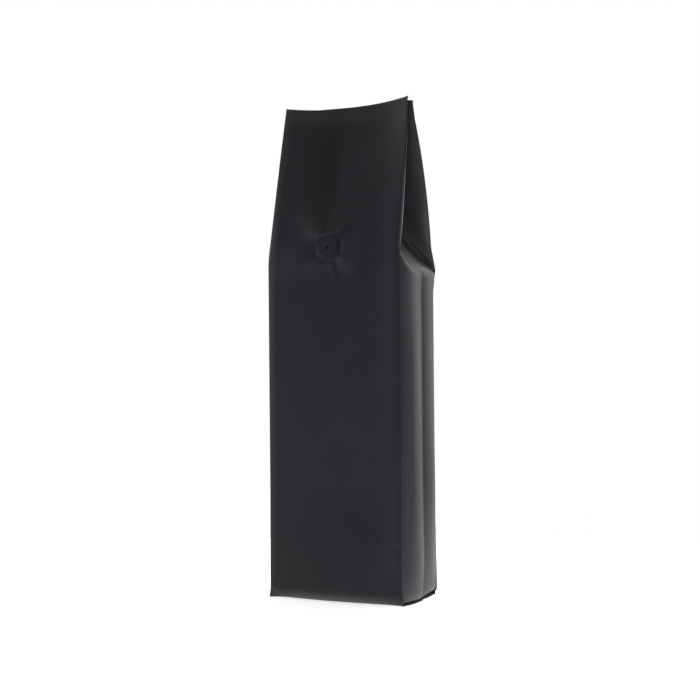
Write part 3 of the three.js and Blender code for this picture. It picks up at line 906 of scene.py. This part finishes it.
# The valve's section from its middle to its rim and back under it: radius in tenths of the rim's, height.
VALVE_SECTION = (
    (0, -0.7),
    (0.85, -0.7),
    (0.95, 0.3),
    (1.1, 0.66),
    (1.4, 0.76),
    (2.4, 0.78),
    (3.6, 0.78),
    (4.6, 0.77),
    (5.6, 0.74),
    (6.4, 0.68),
    (7, 0.58),
    (7.5, 0.44),
    (8, 0.26),
    (8.5, 0.07),
    (8.85, -0.05),
    (9.1, -0.07),
    (9.3, 0),
    (9.45, 0.13),
    (9.6, 0.27),
    (9.8, 0.35),
    (10, 0.35),
    (10.15, 0.24),
    (10.2, 0.06),
    (10, -0.05),
    (9.5, -0.15),
    (9.3, -0.7),
    (0, -1),
)
SECTION_RADIUS = 10
VALVE_STEPS = 128
VALVE_MERGE = 0.001
FRAME_STEP = 0.5
FACE_LEVEL = -0.1
BUTTON_TILT = 0.03
BUTTON_EDGE = (6, 8.6)
GROOVE = (8.6, 0.7)
GROOVE_DEEP = 0.35
GROOVE_TURN = 30
VENT_REACH = (0.9, 2.6)
VENT_STRETCH = (0.6, 1.5)
SLIT = (1.5, 5.2)
SLIT_Y = -0.4
SLIT_DEPTH = 0.22
SLIT_WIDTH = 0.2
SLIT_LEVEL = 0.4

# Painted light and painted shade on the ring: radius, width, angle from the right in degrees, strength.
RING_PAINTED_LIGHT = (
    (7, 1, 215, 0.25),
    (9.3, 0.6, 225, 0.2),
    (9.4, 0.7, 275, 0.3),
    (9.4, 0.7, 145, 0.25),
    (9.9, 0.5, 55, 0.3),
)
RING_PAINTED_SHADE = (
    (7.6, 0.9, 12, 0.35),
    (7.6, 0.6, 285, 0.15),
)


def valve_place(form):
    """The valve's own frame on the front film: x to the right, y up the film, z out of it."""
    across, z = form.valve_at[0] / form.half_panel, form.valve_at[1]
    aside = FRAME_STEP / form.half_panel

    def bare(share, height):
        """The front film without its relief."""
        rise = form.panel_rise(FRONT, share, height)
        return Vector((share * form.half_width(height), form.panel_y(FRONT, share, height), height + rise))

    right = bare(across + aside, z) - bare(across - aside, z)
    up = bare(across, z + FRAME_STEP) - bare(across, z - FRAME_STEP)
    out = right.cross(up).normalized()
    right.normalize()
    up = out.cross(right)
    place = Matrix((right, up, out)).transposed().to_4x4()
    place.translation = bare(across, z)
    return place


def ring_share(marks, share, angle):
    """How strongly a point of the ring is marked, 0 to 1."""
    found = 0
    for radius, width, degrees, strength in marks:
        facing = max(math.cos(angle - math.radians(degrees)), 0) ** 2
        found = max(found, strength * facing * bump(share, radius, width))
    return found


def turn_valve(form):
    """The valve's section turned once round, with its vent stretched to a slot and a fine slit beside it."""
    valve = bmesh.new()
    wear_and_light = valve.verts.layers.float.new("wear_and_painted_light")
    shade = valve.verts.layers.float.new("own_shade")
    scale = form.valve_radius / SECTION_RADIUS
    ring = [valve.verts.new((radius * scale, 0, height)) for radius, height in VALVE_SECTION]
    section = [valve.edges.new(pair) for pair in zip(ring, ring[1:])]
    bmesh.ops.spin(
        valve,
        geom=ring + section,
        cent=(0, 0, 0),
        axis=(0, 0, 1),
        angle=math.tau,
        steps=VALVE_STEPS,
        use_merge=True,
    )
    bmesh.ops.remove_doubles(valve, verts=valve.verts, dist=VALVE_MERGE)
    bmesh.ops.recalc_face_normals(valve, faces=valve.faces)
    for vert in valve.verts:
        radius = math.hypot(vert.co.x, vert.co.y)
        share, angle = radius / scale, math.atan2(vert.co.y, vert.co.x)
        if vert.co.z > FACE_LEVEL:
            # Painted light and painted shade on the ring.
            vert[wear_and_light] = ring_share(RING_PAINTED_LIGHT, share, angle)
            vert[shade] = ring_share(RING_PAINTED_SHADE, share, angle)
            turn = math.cos(angle - math.radians(GROOVE_TURN))
            vert.co.z -= GROOVE_DEEP * bump(share, *GROOVE) * max(turn, 0) ** 2
            vert.co.z += BUTTON_TILT * radius * turn * (1 - smoothstep(share, *BUTTON_EDGE))
        near = 1 - smoothstep(radius, *VENT_REACH)
        vert.co.x *= mix(1, VENT_STRETCH[0], near)
        vert.co.y *= mix(1, VENT_STRETCH[1], near)
        if vert.co.x < 0 and SLIT[0] < radius < SLIT[1] and vert.co.z > SLIT_LEVEL:
            vert.co.z -= SLIT_DEPTH * bump(vert.co.y, SLIT_Y, SLIT_WIDTH)
    place = Matrix.Diagonal((MM, MM, MM, 1)) @ valve_place(form)
    bmesh.ops.transform(valve, matrix=place, verts=valve.verts)
    for face in valve.faces:
        face.smooth = True
    return valve


def linear(code):
    """An sRGB hex colour such as 1a1b1d as a linear colour."""
    parts = [int(code[at : at + 2], 16) / 255 for at in (0, 2, 4)]
    return tuple(((c + 0.055) / 1.055) ** 2.4 if c > 0.04045 else c / 12.92 for c in parts)


def linear_rgba(shade):
    """A linear colour with full alpha, as a shader's socket takes it."""
    return tuple(shade) + (1,)


def add_node(tree, kind, inputs=None, links=None, **settings):
    """A node of that kind, with its settings, its inputs' values and its inputs' links."""
    node = tree.nodes.new(kind)
    for name, value in settings.items():
        setattr(node, name, value)
    for name, value in (inputs or {}).items():
        node.inputs[name].default_value = value
    for name, source in (links or {}).items():
        tree.links.new(source, node.inputs[name])
    return node


def new_material(name):
    """An empty material and its node tree."""
    material = bpy.data.materials.new(name)
    material.use_nodes = True
    material.node_tree.nodes.clear()
    return material, material.node_tree


# The film's coat, with its patterns' sizes in millimetres.
CLOUD_SIZE = 30
CLOUD_RANGE = (0.3, 0.7)
GLOSS_DRIFT = 0.03
TOOTH_SIZE = 0.8
TOOTH_DEPTH = 0.03
TOOTH_STRENGTH = 0.12
SHADED_SHEEN = 0.1
FILM_IOR = 1.5

# A Mix node's colour sockets go by number.
MIX_SHARE, MIX_FROM, MIX_TO, MIX_RESULT = 0, 6, 7, 2


def matte_film(name, finish):
    """Matte laminate: black ink under a satin coat, with cloudy gloss, a fine tooth, pale hard folds, painted
    light and painted shade.
    """
    material, tree = new_material(name)
    place = add_node(tree, "ShaderNodeTexCoord").outputs["Object"]
    # The coat lies unevenly in wide clouds, so its gloss drifts softly over a panel.
    cloud = add_node(
        tree,
        "ShaderNodeTexNoise",
        {"Scale": 1 / (CLOUD_SIZE * MM), "Detail": 3, "Roughness": 0.5},
        {"Vector": place},
    ).outputs["Fac"]
    # The coat's tooth is a few hundredths of a millimetre; it is drawn far coarser so that it shows.
    tooth = add_node(
        tree,
        "ShaderNodeTexNoise",
        {"Scale": 1 / (TOOTH_SIZE * MM), "Detail": 2, "Roughness": 0.6},
        {"Vector": place},
    ).outputs["Fac"]
    wear_and_light, shade, rub = (
        add_node(tree, "ShaderNodeAttribute", attribute_name=mark).outputs["Fac"]
        for mark in ("wear_and_painted_light", "own_shade", "burnish")
    )
    ink = add_node(
        tree,
        "ShaderNodeMix",
        {MIX_FROM: linear_rgba(finish.film_colour), MIX_TO: linear_rgba(finish.film_bloom)},
        {MIX_SHARE: cloud},
        data_type="RGBA",
    ).outputs[MIX_RESULT]
    # Hard folds are crazed and pale; painted highlights and painted light lighten the film elsewhere, and
    # painted shade darkens it deep in a fold or pocket.
    for tint, mark in ((finish.fold_and_highlight_colour, wear_and_light), (finish.painted_shade_colour, shade)):
        ink = add_node(
            tree,
            "ShaderNodeMix",
            {MIX_TO: linear_rgba(tint)},
            {MIX_SHARE: mark, MIX_FROM: ink},
            data_type="RGBA",
        ).outputs[MIX_RESULT]
    # Where shade is painted, the sheen is cut down as well.
    sheen = add_node(
        tree,
        "ShaderNodeMapRange",
        {"To Min": finish.specular, "To Max": finish.specular * SHADED_SHEEN},
        {"Value": shade},
    ).outputs["Result"]
    # Pressed in the seal and rubbed along the foot, the film is glossier there and mirrors more of the room.
    sheen = add_node(
        tree,
        "ShaderNodeMath",
        {1: finish.rubbed_sheen},
        {0: rub, 2: sheen},
        operation="MULTIPLY_ADD",
    ).outputs["Value"]
    gloss = add_node(
        tree,
        "ShaderNodeMapRange",
        {
            "From Min": CLOUD_RANGE[0],
            "From Max": CLOUD_RANGE[1],
            "To Min": finish.roughness - GLOSS_DRIFT,
            "To Max": finish.roughness + GLOSS_DRIFT,
        },
        {"Value": cloud},
    ).outputs["Result"]
    relief = add_node(
        tree,
        "ShaderNodeBump",
        {"Strength": TOOTH_STRENGTH, "Distance": TOOTH_DEPTH * MM},
        {"Height": tooth},
    ).outputs["Normal"]
    shader = add_node(
        tree,
        "ShaderNodeBsdfPrincipled",
        {"IOR": FILM_IOR},
        {"Base Color": ink, "Roughness": gloss, "Specular IOR Level": sheen, "Normal": relief},
    ).outputs["BSDF"]
    add_node(tree, "ShaderNodeOutputMaterial", links={"Surface": shader})
    return material


def add_piece(name, mesh_data, material, node):
    """A finished piece in the frame: it rides on the body and stands for its solid."""
    mesh = bpy.data.meshes.new(name)
    mesh_data.to_mesh(mesh)
    mesh_data.free()
    mesh.materials.append(material)
    piece = bpy.data.objects.new(name, mesh)
    bpy.context.scene.collection.objects.link(piece)
    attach(piece, "root")
    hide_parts(node)
    return piece


def length(name, description, default):
    """A length that a user may change, in metres."""
    return FloatProperty(name=name, description=description, default=default, unit="LENGTH", precision=4)


def colour(name, description, code):
    """A colour that a user may change, from its sRGB hex value."""
    return FloatVectorProperty(
        name=name,
        description=description,
        default=linear(code),
        subtype="COLOR",
        size=3,
        min=0,
        max=1,
    )


class PouchSizes(bpy.types.PropertyGroup):
    """The sizes of the film, its folds and its valve."""

    panel_width: length("Panel Width", "Front and back panel, from fold to fold", 85.5 * MM)
    gusset_width: length("Gusset Width", "Side film from fold to fold, laid flat", 52 * MM)
    body_depth: length("Body Depth", "Front to back at the folds of the filled body", 45 * MM)
    height: length("Height", "From the floor to the left end of the seal", 289.9 * MM)
    shoulder_height: length("Shoulder Height", "Where the filled body turns in", 197.4 * MM)
    seal_width: length("Seal Width", "The top seal, from end to end", 82.34 * MM)
    seal_band: length("Seal Band", "Height of the heat seal", 12 * MM)
    valve_diameter: length("Valve Diameter", "Across the rim of the valve", 18.4 * MM)
    valve_across: length("Valve Across", "Valve's middle, right of the panel's middle", -3.7 * MM)
    valve_height: length("Valve Height", "Valve's middle, above the floor", 204 * MM)


class PouchFinish(bpy.types.PropertyGroup):
    """The colours and gloss of the film."""

    film_colour: colour("Film", "Black ink of the film", "1f2026")
    film_bloom: colour("Film Bloom", "The film where its coat lies thicker", "25262c")
    # The colour of whitened folds, also used for painted highlights and painted light.
    fold_and_highlight_colour: colour("Hard Folds", "The film where it is whitened by folding", "4a4b50")
    # Painted shade: the colour the film is darkened to wherever shade is painted, not only in the tuck.
    painted_shade_colour: colour("Tucked Film", "The film deep in the fold along the foot", "121216")
    roughness: FloatProperty(
        name="Roughness",
        description="Spread of the film's sheen",
        default=0.43,
        min=0,
        max=1,
    )
    specular: FloatProperty(
        name="Sheen Level",
        description="Strength of the film's sheen, 0.5 for bare plastic",
        default=0.26,
    )
    rubbed_sheen: FloatProperty(
        name="Rubbed Sheen",
        description="Sheen level added where the coat is pressed or rubbed smooth",
        default=0.5,
    )


class PouchStage(bpy.types.PropertyGroup):
    """The camera and the light round the pouch."""

    camera_turn: FloatProperty(
        name="Camera Turn",
        description="Angle of the camera round the pouch, from the front",
        default=math.radians(25.6),
        subtype="ANGLE",
    )
    camera_roll: FloatProperty(
        name="Camera Roll",
        description="Tilt of the picture",
        default=math.radians(-0.53),
        subtype="ANGLE",
    )
    camera_distance: length("Camera Distance", "From the pouch's middle", 912 * MM)
    camera_height: length("Camera Height", "Above the floor", 144.7 * MM)
    camera_aside: length("Camera Aside", "The camera's shift to its left", 0.53 * MM)
    lens: FloatProperty(name="Lens", description="Focal length on a 36 mm sensor", default=79.46)
    floor_colour: colour("Floor", "Pale studio floor", "f4f4f3")
    floor_glow: FloatProperty(name="Floor Glow", description="Light from under the white board", default=0.73)
    room_light: FloatProperty(name="Room Light", description="Light from the white room", default=0.9)
    front_dim: FloatProperty(
        name="Front Dimming",
        description="Share of the room's light left on the camera's side",
        default=0.34,
    )


class POUCH_OT_film(bpy.types.Operator):
    """Fold the flat film into the filled, sealed pouch"""

    bl_idname = "pouch.film"
    bl_label = "Pouch Film"

    def execute(self, context):
        scene = context.scene
        film = matte_film("matte_laminate_film", scene.pouch_finish)
        add_piece("pouch_film", fold_film(FilmForm(scene.pouch_sizes)), film, "pouch")
        return {"FINISHED"}


class POUCH_OT_valve(bpy.types.Operator):
    """Turn the one-way valve and set it in the front film"""

    bl_idname = "pouch.valve"
    bl_label = "One-way Valve"

    def execute(self, context):
        scene = context.scene
        film = matte_film("embossed_laminate_valve", scene.pouch_finish)
        add_piece("one_way_valve", turn_valve(FilmForm(scene.pouch_sizes)), film, "valve")
        return {"FINISHED"}


class POUCH_OT_stage(bpy.types.Operator):
    """Set the pale floor, the soft light and the camera"""

    bl_idname = "pouch.stage"
    bl_label = "Studio Stage"

    def execute(self, context):
        scene = context.scene
        stage = scene.pouch_stage
        scene.view_settings.view_transform = "Standard"
        scene.view_settings.look = "None"
        lay_floor(stage)
        light_room(scene, stage)
        for name, place, size, power in SOFTBOXES:
            hang_softbox(name, place, size, power)
        set_camera(scene, stage)
        return {"FINISHED"}


def lay_floor(stage):
    """A wide pale floor just under the pouch."""
    sheet = bmesh.new()
    bmesh.ops.create_circle(sheet, cap_ends=True, segments=FLOOR_SEGMENTS, radius=FLOOR_RADIUS)
    bmesh.ops.translate(sheet, verts=sheet.verts, vec=FLOOR_CENTRE)
    mesh = bpy.data.meshes.new("studio_floor")
    sheet.to_mesh(mesh)
    sheet.free()
    material, tree = new_material("matt_white_board")
    shader = add_node(
        tree,
        "ShaderNodeBsdfPrincipled",
        {
            "Base Color": linear_rgba(stage.floor_colour),
            "Roughness": 0.9,
            "Specular IOR Level": 0.1,
            "Emission Color": linear_rgba(stage.floor_colour),
            "Emission Strength": stage.floor_glow,
        },
    ).outputs["BSDF"]
    add_node(tree, "ShaderNodeOutputMaterial", links={"Surface": shader})
    mesh.materials.append(material)
    floor = bpy.data.objects.new("studio_floor", mesh)
    bpy.context.scene.collection.objects.link(floor)


def light_room(scene, stage):
    """A white room round the pouch, dimmer on the front's side, and plain white behind the picture."""
    world = bpy.data.worlds.new("white_room")
    world.use_nodes = True
    tree = world.node_tree
    tree.nodes.clear()
    way = add_node(tree, "ShaderNodeTexCoord").outputs["Generated"]
    dimmed = add_node(tree, "ShaderNodeVectorMath", {1: DIM_SIDE}, {0: way}, operation="DOT_PRODUCT")
    level = add_node(
        tree,
        "ShaderNodeMapRange",
        {
            "From Min": DIM_RANGE[0],
            "From Max": DIM_RANGE[1],
            "To Min": stage.room_light,
            "To Max": stage.room_light * stage.front_dim,
        },
        {"Value": dimmed.outputs["Value"]},
        interpolation_type="SMOOTHSTEP",
    ).outputs["Result"]
    white = {"Color": (1, 1, 1, 1), "Strength": 1}
    room = add_node(tree, "ShaderNodeBackground", white, {"Strength": level}).outputs["Background"]
    backdrop = add_node(tree, "ShaderNodeBackground", white).outputs["Background"]
    seen = add_node(tree, "ShaderNodeLightPath").outputs["Is Camera Ray"]
    both = add_node(tree, "ShaderNodeMixShader", links={0: seen, 1: room, 2: backdrop}).outputs["Shader"]
    add_node(tree, "ShaderNodeOutputWorld", links={"Surface": both})
    scene.world = world


def hang_softbox(name, place, size, power):
    """A square softbox that faces the middle of the pouch, out of the picture."""
    lamp = bpy.data.lights.new(name, "AREA")
    lamp.size = size
    lamp.energy = power
    softbox = bpy.data.objects.new(name, lamp)
    softbox.location = place
    softbox.rotation_euler = (Vector(SOFTBOX_AIM) - Vector(place)).to_track_quat("-Z", "Y").to_euler()
    softbox.visible_camera = False
    bpy.context.scene.collection.objects.link(softbox)


def set_camera(scene, stage):
    """The camera at the pouch's front right, level with its middle."""
    lens = bpy.data.cameras.new("camera")
    lens.sensor_width = SENSOR_WIDTH
    lens.lens = stage.lens
    camera = bpy.data.objects.new("camera", lens)
    turn = stage.camera_turn
    right = Vector((math.cos(turn), math.sin(turn), 0))
    ahead = Vector((-math.sin(turn), math.cos(turn), 0))
    camera.location = -stage.camera_aside * right - stage.camera_distance * ahead
    camera.location.z = stage.camera_height
    level = Euler((math.pi / 2, 0, turn)).to_matrix()
    camera.rotation_euler = (level @ Matrix.Rotation(stage.camera_roll, 3, "Z")).to_euler()
    scene.collection.objects.link(camera)
    scene.camera = camera


class POUCH_PT_parts(bpy.types.Panel):
    """The pouch's pieces and the sizes and colours that they are made from"""

    bl_idname = "POUCH_PT_parts"
    bl_label = "Side Gusset Pouch"
    bl_space_type = "VIEW_3D"
    bl_region_type = "UI"
    bl_category = "Pouch"

    def draw(self, context):
        scene = context.scene
        for operator in OPERATORS:
            self.layout.operator(operator.bl_idname)
        for group in (scene.pouch_sizes, scene.pouch_finish, scene.pouch_stage):
            box = self.layout.box()
            for name in group.__annotations__:
                box.prop(group, name)


GROUPS = {"pouch_sizes": PouchSizes, "pouch_finish": PouchFinish, "pouch_stage": PouchStage}
OPERATORS = (POUCH_OT_film, POUCH_OT_valve, POUCH_OT_stage)


def register():
    """Add the pouch's properties, operators and panel to Blender."""
    for name, group in GROUPS.items():
        bpy.utils.register_class(group)
        setattr(bpy.types.Scene, name, PointerProperty(type=group))
    for cls in (*OPERATORS, POUCH_PT_parts):
        bpy.utils.register_class(cls)


def unregister():
    """Take them out again, in the other order."""
    for cls in (POUCH_PT_parts, *reversed(OPERATORS)):
        bpy.utils.unregister_class(cls)
    for name, group in GROUPS.items():
        delattr(bpy.types.Scene, name)
        bpy.utils.unregister_class(group)


def main():
    """Build the pouch and its stage."""
    register()
    bpy.ops.pouch.film()
    bpy.ops.pouch.valve()
    bpy.ops.pouch.stage()


if __name__ == "__main__":
    main()
